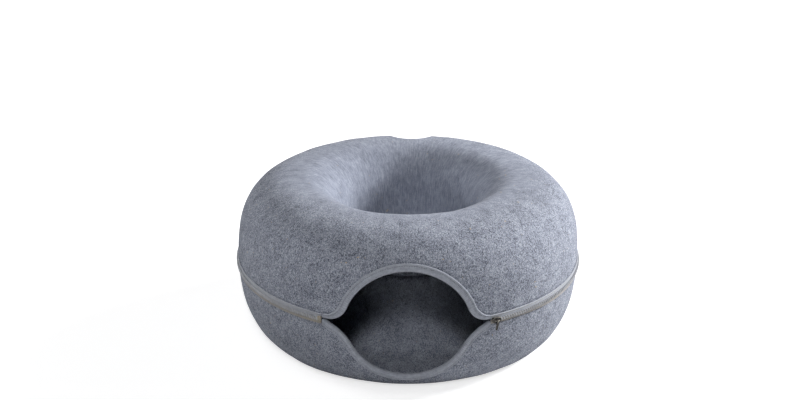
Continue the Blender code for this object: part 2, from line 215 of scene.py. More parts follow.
def mouth_edge(side, azimuth, grow=0.0):
    """Height of the mouth's finished edge at an azimuth or, with grow, of a line that runs beside it."""
    shape = MOUTH[side]
    round_size, foot, rest = shape["arc"] + grow, shape["foot"] - grow, SLIT + grow
    centre = shape["rise"] - shape["arc"]
    foot_along = math.sqrt((round_size + foot) ** 2 - (rest + foot - centre) ** 2)
    along = abs(math.radians(azimuth)) * RING_RADIUS
    if along < foot_along * round_size / (round_size + foot):
        return centre + math.sqrt(round_size**2 - along**2)
    height = rest
    if along < foot_along:
        height = rest + foot - math.sqrt(foot**2 - (along - foot_along) ** 2)
    share = min(max((MOUTH_END - abs(azimuth)) / MOUTH_CLOSING, 0.0), 1.0)
    return rest + (height - rest) * share * share * (3 - 2 * share)


def felt_edge(side, azimuth):
    """Height of the felt's cut edge, inside the fold of the binding."""
    if azimuth > 180:
        azimuth -= 360
    return mouth_edge(side, azimuth, LIP)


def edge_direction(side, azimuth):
    """Which way the felt's edge runs at an azimuth: its rise and its run, for each metre of it."""
    nearby = 0.05
    rise = felt_edge(side, azimuth + nearby) - felt_edge(side, azimuth - nearby)
    run = math.radians(2 * nearby) * RING_RADIUS
    length = math.hypot(rise, run)
    return rise / length, run / length


def beside_mouth(side, azimuth, inwards):
    """Azimuth and height of the point that lies inwards of the felt's edge.

    It lies square to that edge, but straight above or below it at the binding's ends.
    """
    rise, run = edge_direction(side, azimuth)
    turn = math.degrees(-rise * inwards / RING_RADIUS)
    from_end = min(BINDING_RIGHT_END - azimuth, azimuth - BINDING_LEFT_END)
    share = min(max(from_end / BINDING_ENDING, 0.0), 1.0)
    return azimuth + share * turn, felt_edge(side, azimuth) + run * inwards


def binding_width(side, azimuth):
    """Width of the binding's outer leg: full round the arc, less at its two ends."""
    arc_end = math.degrees(MOUTH[side]["arc"] / RING_RADIUS)
    share = min(max((MOUTH_END - abs(azimuth)) / (MOUTH_END - arc_end), 0.0), 1.0)
    eased = share * share * (3 - 2 * share)
    return BINDING_END_WIDTH[side] + eased * (BINDING_WIDTH[side] - BINDING_END_WIDTH[side])


# ------------------------------------------------------------------ meshes


def obj_from(name, verts, faces, material, smooth_angle=40, cloth=None, pulled=None):
    """An object of these points and faces, smooth over its gentle edges.

    Its look reads cloth, places measured on the flat cloth, and pulled, how far moulding has drawn it out.
    """
    data = bpy.data.meshes.new(name)
    data.from_pydata(np.asarray(verts, float).reshape(-1, 3).tolist(), [], faces)
    data.update()
    bm = bmesh.new()
    bm.from_mesh(data)
    bmesh.ops.recalc_face_normals(bm, faces=bm.faces)
    bm.to_mesh(data)
    bm.free()
    data.materials.append(material)
    data.shade_smooth()
    data.set_sharp_from_angle(angle=math.radians(smooth_angle))
    if cloth is not None:
        attribute = data.attributes.new("cloth", "FLOAT_VECTOR", "POINT")
        attribute.data.foreach_set("vector", np.asarray(cloth, np.float32).ravel())
    if pulled is not None:
        attribute = data.attributes.new("pulled", "FLOAT", "POINT")
        attribute.data.foreach_set("value", np.asarray(pulled, np.float32).ravel())
    obj = bpy.data.objects.new(name, data)
    bpy.context.scene.collection.objects.link(obj)
    return obj


def joined(name, stacks, material, smooth_angle=40, cloth=None):
    """One mesh of closed skins, each through a stack of loops.

    A stack has flat ends, or runs round in a ring where its last loop is its first.
    """
    verts, faces = [], []
    for stack in stacks:
        stack = np.asarray(stack, float)
        ring = np.allclose(stack[0], stack[-1], atol=1e-9)
        if ring:
            stack = stack[:-1]
        count, size = stack.shape[:2]
        first = len(verts)
        verts.extend(stack.reshape(-1, 3))
        for i in range(count if ring else count - 1):
            a, b = first + i * size, first + (i + 1) % count * size
            for j in range(size):
                k = (j + 1) % size
                faces.append((a + j, a + k, b + k, b + j))
        if not ring:
            faces.append(tuple(range(first, first + size)))
            faces.append(tuple(range(first + (count - 1) * size, first + count * size)))
    return obj_from(name, verts, faces, material, smooth_angle, cloth)


# Places along a thread's length and its thickness there, as shares
THREAD_RINGS = ((0.0, 0.45), (0.14, 0.86), (0.5, 1.0), (0.86, 0.86), (1.0, 0.45))
THREAD_SIDES = 6
THREAD_FLATNESS = 0.8


def thread(start, end, up, radius):
    """Loops of a short rounded thread from start to end, a little flat along its up direction."""
    axis = (end - start) / np.linalg.norm(end - start)
    side = np.cross(axis, up)
    side /= np.linalg.norm(side)
    turns = 2 * math.pi * np.arange(THREAD_SIDES) / THREAD_SIDES
    rise = THREAD_FLATNESS * np.cross(side, axis)
    loop = radius * (np.outer(np.cos(turns), side) + np.outer(np.sin(turns), rise))
    return [start + share * (end - start) + size * loop for share, size in THREAD_RINGS]


def tube(points, radius, across, sides=10):
    """Loops of a round wire through points that lie in the plane square to across."""
    points = np.asarray(points, float)
    ring = np.allclose(points[0], points[-1], atol=1e-9)
    before, after = np.roll(points, 1, 0), np.roll(points, -1, 0)
    if ring:
        before[0], after[-1] = points[-2], points[1]
    else:
        before[0], after[-1] = points[0], points[-1]
    turns = 2 * math.pi * np.arange(sides) / sides
    loops = []
    for point, ahead in zip(points, after - before):
        side = np.cross(ahead / np.linalg.norm(ahead), across)
        loops.append(point + radius * (np.outer(np.cos(turns), side) + np.outer(np.sin(turns), across)))
    return loops


def plate(outline, levels):
    """Loops of a flat piece: its outline at levels, each (how far it is drawn in, its distance out)."""
    outline = np.asarray(outline)
    middle = 0.5 * (outline.max(0) + outline.min(0))
    half = 0.5 * (outline.max(0) - outline.min(0))
    loops = []
    for inset, out in levels:
        drawn = middle + (outline - middle) * (1 - inset / half)
        loops.append(np.c_[drawn[:, 0], np.full(len(drawn), out), drawn[:, 1]])
    return np.array(loops)


def rounded(low, high, rounding):
    """Levels of a plate from low to high with rounded edges."""
    return (
        (rounding, low),
        (0.3 * rounding, low + 0.3 * rounding),
        (0.0, low + rounding),
        (0.0, high - rounding),
        (0.3 * rounding, high - 0.3 * rounding),
        (rounding, high),
    )


# ------------------------------------------------------------------ materials


class Nodes:
    """A short way to write a material's node tree."""

    def __init__(self, name):
        self.material = bpy.data.materials.new(name)
        self.material.use_nodes = True
        self.tree = self.material.node_tree
        self.shader = self.tree.nodes["Principled BSDF"]

    def add(self, kind, inputs=(), **settings):
        node = self.tree.nodes.new(kind)
        for key, value in settings.items():
            setattr(node, key, value)
        for key, value in dict(inputs).items():
            self.put(node.inputs[key], value)
        return node

    def put(self, socket, value):
        if isinstance(value, bpy.types.NodeSocket):
            self.tree.links.new(value, socket)
        else:
            socket.default_value = value

    def set(self, **inputs):
        for key, value in inputs.items():
            self.put(self.shader.inputs[key.replace("_", " ")], value)

    def place(self):
        return self.add("ShaderNodeTexCoord").outputs["Object"]

    def cloth(self):
        return self.add("ShaderNodeAttribute", attribute_name="cloth").outputs["Vector"]

    def scaled(self, vector, scale):
        node = self.add("ShaderNodeVectorMath", {0: vector, 1: scale}, operation="MULTIPLY")
        return node.outputs["Vector"]

    def noise(self, vector, scale, detail=2.0, roughness=0.5, distortion=0.0):
        inputs = {"Vector": vector, "Scale": scale, "Detail": detail}
        inputs.update({"Roughness": roughness, "Distortion": distortion})
        return self.add("ShaderNodeTexNoise", inputs).outputs["Fac"]

    def maths(self, operation, a, b=0.0, c=0.0, clamp=False):
        node = self.add("ShaderNodeMath", {0: a, 1: b, 2: c}, operation=operation, use_clamp=clamp)
        return node.outputs["Value"]

    def between(self, value, low, high, to_low=0.0, to_high=1.0, smooth=False):
        inputs = {"Value": value, "From Min": low, "From Max": high, "To Min": to_low, "To Max": to_high}
        kind = "SMOOTHSTEP" if smooth else "LINEAR"
        return self.add("ShaderNodeMapRange", inputs, interpolation_type=kind).outputs["Result"]

    def mix(self, share, a, b, blend="MIX"):
        node = self.add("ShaderNodeMix", data_type="RGBA", blend_type=blend)
        self.put(node.inputs["Factor"], share)
        for key, value in (("A", a), ("B", b)):
            socket = [s for s in node.inputs if s.name == key and s.type == "RGBA"][0]
            self.put(socket, (*value, 1.0) if isinstance(value, tuple) and len(value) == 3 else value)
        return [s for s in node.outputs if s.type == "RGBA"][0]

    def ramp(self, value, stops):
        node = self.add("ShaderNodeValToRGB", {"Fac": value})
        elements = node.color_ramp.elements
        while len(elements) < len(stops):
            elements.new(0.5)
        for element, (position, colour) in zip(elements, stops):
            element.position = position
            element.color = (*colour, 1.0)
        return node.outputs["Color"]

    def bump(self, height, distance, strength=1.0, normal=None):
        inputs = {"Height": height, "Distance": distance, "Strength": strength}
        if normal is not None:
            inputs["Normal"] = normal
        return self.add("ShaderNodeBump", inputs).outputs["Normal"]


def fibre_lines(n, place, scale, thin):
    """Fine broken curves, as single fibres lie in felt: 1 on a fibre and 0 beside it."""
    field = n.noise(place, scale, 1.0, 0.5, 0.8)
    beside = n.maths("ABSOLUTE", n.maths("SUBTRACT", field, 0.5))
    line = n.between(beside, 0.0, thin, 1.0, 0.0)
    kept = n.between(n.noise(place, 1.7 * scale), 0.46, 0.56)
    return n.maths("MULTIPLY", line, kept)


def felt_material():
    """Heathered blue-grey felt: a fine mottle with short dark and pale fibres over faint clouds.

    It is softer, and drawn along the section, where the felt is pulled over the crown and into the well.
    """
    n = Nodes("felt")
    place, lay = n.place(), n.cloth()
    pulled = n.add("ShaderNodeAttribute", attribute_name="pulled").outputs["Fac"]
    grain = n.noise(n.scaled(lay, (1.0, 1.0, 0.5)), 1250.0, 2.0, 0.7, 0.2)
    mottle = n.noise(place, 420.0, 3.0, 0.65, 0.4)
    soft = n.noise(n.scaled(lay, (1.0, 1.0, 0.33)), 300.0, 2.0, 0.5, 0.3)
    clouds = n.noise(place, 52.0, 3.0, 0.55)
    even = n.maths("MULTIPLY_ADD", grain, 1.00, n.maths("MULTIPLY_ADD", mottle, 0.34, -0.17))
    drawn = n.maths("MULTIPLY_ADD", soft, 0.22, n.maths("MULTIPLY_ADD", grain, 0.18, 0.30))
    tone = n.add("ShaderNodeMix", {"Factor": pulled, "A": even, "B": drawn}).outputs["Result"]
    depth = n.maths("MULTIPLY_ADD", pulled, -0.08, 0.20)
    tone = n.maths("MULTIPLY_ADD", n.maths("SUBTRACT", clouds, 0.5), depth, tone)
    colour = n.ramp(
        tone,
        (
            (0.34, (0.068, 0.077, 0.103)),
            (0.44, (0.186, 0.203, 0.254)),
            (0.50, (0.270, 0.293, 0.360)),
            (0.56, (0.359, 0.386, 0.461)),
            (0.66, (0.512, 0.541, 0.616)),
        ),
    )
    crowded = n.between(n.noise(place, 75.0, 2.0, 0.6), 0.40, 0.62, 0.30, 1.0)
    streaks = fibre_lines(n, n.scaled(lay, (1.0, 1.0, 0.36)), 430.0, 0.130)
    dark = n.maths("MAXIMUM", streaks, fibre_lines(n, n.scaled(lay, (1.0, 1.0, 0.55)), 280.0, 0.080))
    dark = n.maths("MULTIPLY", dark, crowded)
    pale = fibre_lines(n, n.scaled(lay, (0.9, 0.9, 0.6)), 520.0, 0.055)
    calm = n.maths("MULTIPLY_ADD", pulled, -0.70, 1.0)
    colour = n.mix(n.maths("MULTIPLY", n.maths("MULTIPLY", dark, calm), 0.88), colour, (0.058, 0.064, 0.088))
    colour = n.mix(n.maths("MULTIPLY", n.maths("MULTIPLY", pale, calm), 0.60), colour, (0.61, 0.64, 0.71))
    speck = n.between(n.noise(place, 260.0, 0.0), 0.845, 0.860)
    colour = n.mix(speck, colour, (0.46, 0.38, 0.27))
    hairs = n.noise(place, 1500.0, 1.0, 0.5)
    height = n.maths("MULTIPLY_ADD", hairs, 0.30, n.maths("MULTIPLY_ADD", pale, 0.15, tone))
    n.set(Base_Color=colour, Roughness=0.96, Normal=n.bump(height, 0.0010, 0.55))
    n.set(Sheen_Weight=0.06, Sheen_Roughness=0.6, Specular_IOR_Level=0.12)
    return n.material


def woven_material(name, dark, light, warp, bump, roughness=0.85, stain=None):
    """Woven tape: ribs across it, fine warp threads along it and slight unevenness of the dye."""
    n = Nodes(name)
    cloth = n.cloth()
    place = n.place()
    split = n.add("ShaderNodeSeparateXYZ", {"Vector": cloth})
    ribs = n.maths("SINE", n.maths("MULTIPLY", split.outputs["X"], 2 * math.pi / warp))
    threads = n.maths("SINE", n.maths("MULTIPLY", split.outputs["Y"], 2 * math.pi / (0.8 * warp)))
    weave = n.maths("MULTIPLY_ADD", ribs, 0.25, n.maths("MULTIPLY_ADD", threads, 0.25, 0.5))
    uneven = n.noise(place, 240.0, 3.0, 0.6)
    total = n.maths("MULTIPLY_ADD", weave, 0.35, n.maths("MULTIPLY", uneven, 0.65))
    colour = n.ramp(total, ((0.25, dark), (0.75, light)))
    if stain:
        clouds = n.between(n.noise(place, 30.0, 2.0), 0.4, 0.65)
        colour = n.mix(n.maths("MULTIPLY", clouds, 0.6), colour, stain)
    n.set(Base_Color=colour, Roughness=roughness, Normal=n.bump(weave, bump, 0.8))
    n.set(Sheen_Weight=0.08, Sheen_Roughness=0.5, Specular_IOR_Level=0.3)
    return n.material


def thread_material(name, dark, light):
    """Twisted sewing thread."""
    n = Nodes(name)
    twist = n.noise(n.place(), 1500.0, 2.0, 0.6)
    n.set(Base_Color=n.ramp(twist, ((0.3, dark), (0.7, light))), Roughness=0.7)
    n.set(Normal=n.bump(twist, 0.0003, 0.6), Specular_IOR_Level=0.35)
    return n.material


def coil_material():
    """Satin nylon teeth, pale grey with a warm cast and duller hollows."""
    n = Nodes("coil")
    place = n.place()
    tone = n.noise(place, 170.0, 3.0, 0.6)
    colour = n.ramp(tone, ((0.3, (0.33, 0.335, 0.355)), (0.7, (0.48, 0.49, 0.525))))
    n.set(Base_Color=colour, Roughness=n.between(tone, 0.3, 0.7, 0.38, 0.58))
    n.set(Normal=n.bump(n.noise(place, 2200.0, 1.0), 0.0001, 0.4))
    return n.material


def stop_material():
    """The thread that bars the zip's end: beige, with a few brighter golden strands."""
    n = Nodes("stop")
    place = n.place()
    strands = n.noise(n.scaled(place, (1.0, 1.0, 0.25)), 900.0, 2.0, 0.6)
    stops = ((0.3, (0.16, 0.145, 0.12)), (0.55, (0.34, 0.315, 0.27)), (0.7, (0.62, 0.50, 0.30)))
    colour = n.ramp(strands, stops)
    n.set(Base_Color=colour, Roughness=0.62, Normal=n.bump(strands, 0.0005, 0.8))
    return n.material


def metal_material():
    """Dark plated zinc, worn to bright metal along its sharpest edges."""
    n = Nodes("metal")
    place = n.place()
    edges = n.add("ShaderNodeNewGeometry").outputs["Pointiness"]
    rub = n.noise(place, 700.0, 3.0, 0.65)
    worn = n.between(n.maths("MULTIPLY_ADD", rub, 0.16, edges), 0.625, 0.67)
    colour = n.mix(worn, (0.062, 0.059, 0.057), (0.74, 0.70, 0.62))
    n.set(Base_Color=colour, Metallic=1.0, Roughness=n.between(rub, 0.3, 0.7, 0.22, 0.42))
    n.set(Normal=n.bump(rub, 0.0001, 0.35))
    return n.material


FELT_LOOK = felt_material()
BINDING_LOOK = woven_material("binding", (0.225, 0.243, 0.292), (0.465, 0.490, 0.556), 0.0016, 0.00024)
UPPER_TAPE_LOOK = woven_material("tape", (0.31, 0.327, 0.372), (0.475, 0.492, 0.545), 0.0013, 0.0002)
LOWER_TAPE_LOOK = woven_material(
    "tape_beige", (0.275, 0.268, 0.262), (0.42, 0.408, 0.395), 0.0013, 0.0002, stain=(0.39, 0.35, 0.29)
)
BINDING_THREAD = thread_material("binding_thread", (0.12, 0.13, 0.155), (0.26, 0.27, 0.31))
TAPE_THREAD = thread_material("tape_thread", (0.24, 0.225, 0.20), (0.40, 0.38, 0.35))
COIL_LOOK = coil_material()
STOP_LOOK = stop_material()
METAL_LOOK = metal_material()


# ------------------------------------------------------------------ felt shells

MOUTH_STEP = 0.4
RING_STEP = 1.5
PEEP_STEP = 0.75
PEEP_SPAN = 13.5
ROWS = {"upper": 108, "lower": 84}
# Distances of a shell's first rows from its cut edge, close together where a band's outer edge presses it in
EDGE_ROWS = (
    *(0.0, 0.0015, 0.003, 0.0036, 0.0042, 0.0048, 0.0054, 0.006, 0.0068, 0.0076),
    *(0.0084, 0.0090, 0.0096, 0.0102, 0.0108, 0.0118, 0.013),
)
PRESSED_BESIDE = 0.0004
PRESSED_WIDTH = 0.0011
PRESSED_DEPTH = 0.0008
# The felt's unevenness: how many waves it has to a metre, and how high they are
WAVES = ((8.0, 0.0012), (23.0, 0.0007), (70.0, 0.00018))
WAVES_SHIFT = {"upper": 0.0, "lower": 5.0}
# Distances over which it sets in: from the cut edge, before the waist, and before the floor
EVEN_EDGE, UNEVEN_FROM = 0.010, 0.045
EVEN_WAIST = 0.03
EVEN_FLOOR, EVEN_FLOOR_FULL = 0.035, 0.004
# Where along the section the felt goes over from even walls to the parts that its moulding has drawn out, and
# how much later that comes in front, which is where the cosine of the azimuth is high
PULLED = {"upper": (0.105, 0.175), "lower": (0.190, 0.240)}
PULLED_LATER = 0.035
FRONT_FROM, FRONT_FULL = -0.2, 0.9
# The felt's fibres lie as on a cylinder of this radius, bent to the section, so they run across the ring
LAY_RADIUS = 0.2


def spaced(start, end, step):
    return np.linspace(start, end, max(1, round((end - start) / step)) + 1)


def shell_azimuths():
    """Every azimuth of the shells: close together across the mouth and at the peep hole."""
    parts = [
        spaced(-MOUTH_END, MOUTH_END, MOUTH_STEP),
        spaced(MOUTH_END, PEEP_AZIMUTH - PEEP_SPAN, RING_STEP)[1:],
        spaced(PEEP_AZIMUTH - PEEP_SPAN, PEEP_AZIMUTH + PEEP_SPAN, PEEP_STEP)[1:],
        spaced(PEEP_AZIMUTH + PEEP_SPAN, 360 - MOUTH_END, RING_STEP)[1:-1],
    ]
    return np.concatenate(parts)


def smooth(value, low, high):
    """0 up to low and 1 from high on, with a soft passage between them."""
    share = np.clip((value - low) / (high - low), 0.0, 1.0)
    return share * share * (3 - 2 * share)


def pressed_line(side, azimuths, alongs, edges):
    """How far the felt is pressed in beside the outer edge of the band that is sewn on it."""
    pressed = np.zeros(alongs.shape)
    for i, azimuth in enumerate(azimuths):
        run = edge_direction(side, float(azimuth))[1]
        turned = float(azimuth) if azimuth < 180 else float(azimuth) - 360
        at_mouth = BINDING_LEFT_END < turned < BINDING_RIGHT_END
        tape = float(tape_width(side, azimuth)) - mouth_edge(side, MOUTH_END, LIP)
        width = binding_width(side, turned) if at_mouth else tape
        beside = (alongs[i] - edges[i]) * run - width - PRESSED_BESIDE
        pressed[i] = -PRESSED_DEPTH * np.exp(-((beside / PRESSED_WIDTH) ** 2))
    return pressed


def unevenness(side, azimuths, alongs, edges):
    """How far the moulded felt stands off its even form, which it keeps at its edges, floor and disc."""
    places = around(azimuths[:, None], RING_RADIUS, alongs)
    shift = Vector((WAVES_SHIFT[side], 0.0, 0.0))
    lift = np.zeros(alongs.shape)
    for index in np.ndindex(*alongs.shape):
        place = Vector(places[index]) + shift
        lift[index] = sum(height * noise.noise(place * count) for count, height in WAVES)
    waist = SHELL[side].length - WAIST_RADIUS
    calm = smooth(alongs - edges, EVEN_EDGE, UNEVEN_FROM)
    calm = calm * (1 - smooth(alongs, waist - EVEN_WAIST, waist))
    if side == "lower":
        wall = WALL_LENGTH["lower"]
        calm = calm * (1 - smooth(alongs, wall - EVEN_FLOOR, wall - EVEN_FLOOR_FULL))
    return lift * calm + pressed_line(side, azimuths, alongs, edges)


def peep_hole():
    """The peep hole's middle on the crown, its axis, and two directions square to the axis."""
    wall = Line(UPPER_WALL)
    along = float(np.interp(-PEEP_FROM_AXIS, -wall.points[:, 0], wall.along))
    middle = on_shell("upper", PEEP_AZIMUTH, along)
    axis = on_shell("upper", PEEP_AZIMUTH, along, 0.01) - middle
    axis /= np.linalg.norm(axis)
    side = np.cross(axis, (0.0, 0.0, 1.0))
    side /= np.linalg.norm(side)
    return middle, axis, side, np.cross(side, axis)


def cut_peep_hole(layers):
    """Which cells of the upper shell the peep hole takes out. The corners round them move onto its rim."""
    middle, axis, across, up = peep_hole()
    pairs = layers[0] + np.roll(layers[0], -1, 0)
    away = (pairs[:, :-1] + pairs[:, 1:]) / 4 - middle
    opened = (np.hypot(away @ across, away @ up) < PEEP_RADIUS) & (away @ axis > -PEEP_DEPTH)
    count = len(opened)
    corners = set()
    for i, j in zip(*np.nonzero(opened)):
        corners |= {((i + a) % count, j + b) for a in (0, 1) for b in (0, 1)}
    rim = []
    for i, j in corners:
        if not all(opened[(i + a) % count, j + b] for a in (-1, 0) for b in (-1, 0)):
            rim.append((i, j))
    for layer in layers:
        slope_i = np.roll(layer, -1, 0) - np.roll(layer, 1, 0)
        slope_j = np.zeros_like(layer)
        slope_j[:, 1:-1] = layer[:, 2:] - layer[:, :-2]
        for corner in rim:
            normal = np.cross(slope_i[corner], slope_j[corner])
            away = layer[corner] - middle
            flat = np.array([away @ across, away @ up])
            shift = flat * (PEEP_RADIUS / np.hypot(*flat) - 1)
            step = shift[0] * across + shift[1] * up
            layer[corner] += step - axis * (step @ normal) / (axis @ normal)
    return opened


def sheet_faces(count, rows, opened):
    """Faces of a sheet in two layers, closed round its middle, its cut edge and the cells that are open."""
    size = count * (rows + 1)

    def number(layer, i, j):
        return layer * size + (i % count) * (rows + 1) + j

    faces = []
    for layer in (0, 1):
        for i in range(count):
            for j in range(rows):
                if not opened[i, j]:
                    corners = ((i, j), (i + 1, j), (i + 1, j + 1), (i, j + 1))
                    faces.append(tuple(number(layer, *c) for c in corners))
        faces.append(tuple(number(layer, i, rows) for i in range(count)))
    for i in range(count):
        faces.append((number(0, i, 0), number(0, i + 1, 0), number(1, i + 1, 0), number(1, i, 0)))
    for i, j in zip(*np.nonzero(opened)):
        sides = (
            ((i, j - 1), (i, j), (i + 1, j)),
            ((i, j + 1), (i, j + 1), (i + 1, j + 1)),
            ((i - 1, j), (i, j), (i, j + 1)),
            ((i + 1, j), (i + 1, j), (i + 1, j + 1)),
        )
        for beside, a, b in sides:
            if not opened[beside[0] % count, beside[1]]:
                faces.append((number(0, *a), number(0, *b), number(1, *b), number(1, *a)))
    return faces


def make_shell(side, name):
    """A felt shell: one closed sheet from its cut edge over the ring to the disc in the middle."""
    line = SHELL[side]
    azimuths = shell_azimuths()
    edges = np.array([felt_edge(side, float(a)) for a in azimuths])[:, None]
    first = edges + np.array(EDGE_ROWS)[None, :]
    shares = np.linspace(0.0, 1.0, ROWS[side] + 1)[None, 1:]
    alongs = np.hstack([first, first[:, -1:] + (line.length - first[:, -1:]) * shares])
    lift = unevenness(side, azimuths, alongs, edges)
    layers = [on_shell(side, azimuths[:, None], alongs, lift - depth) for depth in (0.0, FELT)]
    count, rows = len(azimuths), alongs.shape[1] - 1
    opened = cut_peep_hole(layers) if side == "upper" else np.zeros((count, rows), bool)
    faces = sheet_faces(count, rows, opened)

    points = np.concatenate([layer.reshape(-1, 3) for layer in layers])
    turns = np.radians(azimuths)[:, None]
    lay = np.broadcast_arrays(LAY_RADIUS * np.sin(turns), LAY_RADIUS * np.cos(turns), alongs)
    lay = np.tile(np.stack(lay, axis=-1).reshape(-1, 3), (2, 1))
    front = smooth(np.cos(turns), FRONT_FROM, FRONT_FULL)
    outside = smooth(alongs - front * PULLED_LATER, *PULLED[side]).ravel()
    pulled = np.concatenate([outside, np.zeros(outside.shape)])
    used = np.unique(np.concatenate([np.ravel(f) for f in faces]))
    renumber = np.full(len(points), -1)
    renumber[used] = np.arange(len(used))
    faces = [tuple(int(renumber[v]) for v in f) for f in faces]
    return obj_from(name, points[used], faces, FELT_LOOK, 45, lay[used], pulled[used])


# ------------------------------------------------------------------ binding round the mouth

# Heights of the binding's outer leg over its width, from the fold to the hem: a broad soft band, a sewn
# groove and a full rounded ridge
RIDGES = (
    (0.04, 0.00108),
    (0.14, 0.00126),
    (0.28, 0.00132),
    (0.42, 0.00124),
    (0.50, 0.00104),
    (0.56, 0.00070),
    (0.60, 0.00056),
    (0.64, 0.00072),
    (0.70, 0.00128),
    (0.78, 0.00172),
    (0.86, 0.00184),
    (0.93, 0.00162),
    (0.98, 0.00108),
    (1.00, 0.00040),
)
GROOVE = 0.60
FOLD_STEPS = 9
BINDING_STEP = 0.3
BINDING_SLACK = 1.15
BINDING_LAY_OUT = 0.4
BINDING_SEAM = {"pitch": 0.0032, "length": 0.0022, "radius": 0.00040}
BINDING_SEAM_OUT = 0.00062
BINDING_SEAM_END = 0.4
BINDING_SEED = {"upper": 11, "lower": 12}
STITCH_JITTER = 0.0001


def binding_loop(side, azimuth):
    """The binding's section: outer leg with its ridges, fold round the felt's edge, and inner leg."""
    width = binding_width(side, azimuth)
    outside = [(share * width, GAP + height) for share, height in reversed(RIDGES)]
    low, high = -FELT - BINDING_INSIDE_GAP - BINDING, GAP + BINDING
    fold = []
    for step in range(1, FOLD_STEPS):
        turn = math.pi * (0.5 - step / FOLD_STEPS)
        middle, half = 0.5 * (low + high), 0.5 * (high - low)
        fold.append((-LIP * math.cos(turn) ** BINDING_FOLD_FULLNESS, middle + half * math.sin(turn)))
    inner = [
        (0.0, low),
        (BINDING_INSIDE_WIDTH / 2, low),
        (BINDING_INSIDE_WIDTH, low + BINDING_INSIDE_DROP),
        (BINDING_INSIDE_WIDTH, low + BINDING - BINDING_INSIDE_DROP),
        (BINDING_INSIDE_WIDTH / 2, low + BINDING),
        (0.0, low + BINDING),
        (-BINDING_FOLD_IN, low + BINDING + BINDING_FOLD_IN),
        (-BINDING_FOLD_IN, -BINDING_FOLD_DROP),
        (0.0, GAP),
        (width / 2, GAP),
        (width, GAP),
    ]
    points, cloth = [], []
    for inwards, out in outside + fold + inner:
        turned, along = beside_mouth(side, azimuth, inwards)
        points.append(on_shell(side, turned, along, out))
        slack = math.radians(azimuth) * RING_RADIUS * BINDING_SLACK
        cloth.append((slack, inwards + BINDING_LAY_OUT * out, 0.0))
    return points, cloth


def make_binding(side):
    made = [binding_loop(side, float(a)) for a in spaced(BINDING_LEFT_END, BINDING_RIGHT_END, BINDING_STEP)]
    return joined(f"binding_{side}", [[m[0] for m in made]], BINDING_LOOK, 50, [m[1] for m in made])


def stitches(name, path, pitch, length, radius, seed, material):
    """A row of stitches spaced evenly along a path of points on the wall, in one mesh."""
    rng = random.Random(seed)
    path = np.asarray(path, float)
    steps = np.linalg.norm(np.diff(path, axis=0), axis=1)
    along = np.r_[0.0, np.cumsum(steps)]
    stacks = []
    for k in range(int(along[-1] // pitch)):
        start = (k + 0.5) * pitch - 0.5 * length + rng.uniform(-STITCH_JITTER, STITCH_JITTER)
        ends = [[np.interp(s, along, path[:, i]) for i in range(3)] for s in (start, start + length)]
        start, end = np.array(ends)
        away = 0.5 * (start + end) - (0.0, AXIS_Y, 0.0)
        stacks.append(thread(start, end, away * (1.0, 1.0, 0.0), radius))
    return joined(name, stacks, material, 60)


def make_binding_stitches(side):
    """The row of lockstitch in the binding's groove."""
    path = []
    start, end = BINDING_LEFT_END + BINDING_SEAM_END, BINDING_RIGHT_END - BINDING_SEAM_END
    for azimuth in spaced(start, end, BINDING_STEP):
        width = binding_width(side, float(azimuth))
        turned, along = beside_mouth(side, float(azimuth), GROOVE * width)
        path.append(on_shell(side, turned, along, GAP + BINDING_SEAM_OUT))
    name = f"binding_stitches_{side}"
    return stitches(name, path, **BINDING_SEAM, seed=BINDING_SEED[side], material=BINDING_THREAD)


# ------------------------------------------------------------------ zip

# Heights of a tape over its width, from the chain's side to its outer edge: flat, a sewn line, a rolled edge
TAPE_PROFILE = (
    (0.00, 0.00060),
    (0.08, 0.00080),
    (0.30, 0.00084),
    (0.58, 0.00086),
    (0.65, 0.00078),
    (0.69, 0.00066),
    (0.73, 0.00078),
    (0.80, 0.00112),
    (0.88, 0.00134),
    (0.95, 0.00118),
    (1.00, 0.00050),
)
SEWN_LINE = 0.69
LEFT_END_GAP = 0.35
TAPE_SEAM = {"pitch": 0.0036, "length": 0.0027, "radius": 0.00034}
TAPE_SEAM_OUT = 0.00066
TAPE_SEED = {"upper": 21, "lower": 22}


def band_azimuths(step=1.0):
    return spaced(BINDING_RIGHT_END + TAPE_END_GAP, 360 + BINDING_LEFT_END - LEFT_END_GAP, step)


def tape_width(side, azimuth):
    """How far a tape shows from the zip line. The lower one is half tucked in beside the slider."""
    if side == "upper":
        return TAPE_TOP["upper"]
    tucked = 1 - smooth(azimuth, TUCKED_FROM, TUCKED_TO)
    return TAPE_TOP["lower"] - LOWER_TAPE_TUCKED * tucked


def tape_loop(side, azimuth):
    sign = 1 if side == "upper" else -1
    low, high = TAPE_BOTTOM, float(tape_width(side, azimuth))
    section = [(low + share * (high - low), GAP + height) for share, height in TAPE_PROFILE]
    section += [(high, GAP), (0.5 * (low + high), GAP), (low, GAP)]
    points = [around(azimuth, RING_RADIUS + out, ZIP_HEIGHT + sign * height) for height, out in section]
    cloth = [(math.radians(azimuth) * RING_RADIUS, height, 0.0) for height, out in section]
    return points, cloth


def make_tape(side):
    made = [tape_loop(side, float(a)) for a in band_azimuths()]
    look = UPPER_TAPE_LOOK if side == "upper" else LOWER_TAPE_LOOK
    return joined(f"zip_tape_{side}", [[m[0] for m in made]], look, 50, [m[1] for m in made])


def make_tape_stitches(side):
    """The seam that holds a tape on its shell."""
    sign = 1 if side == "upper" else -1
    path = []
    for azimuth in band_azimuths():
        high = float(tape_width(side, azimuth))
        height = TAPE_BOTTOM + SEWN_LINE * (high - TAPE_BOTTOM)
        path.append(around(azimuth, RING_RADIUS + GAP + TAPE_SEAM_OUT, ZIP_HEIGHT + sign * height))
    return stitches(f"zip_stitches_{side}", path, **TAPE_SEAM, seed=TAPE_SEED[side], material=TAPE_THREAD)


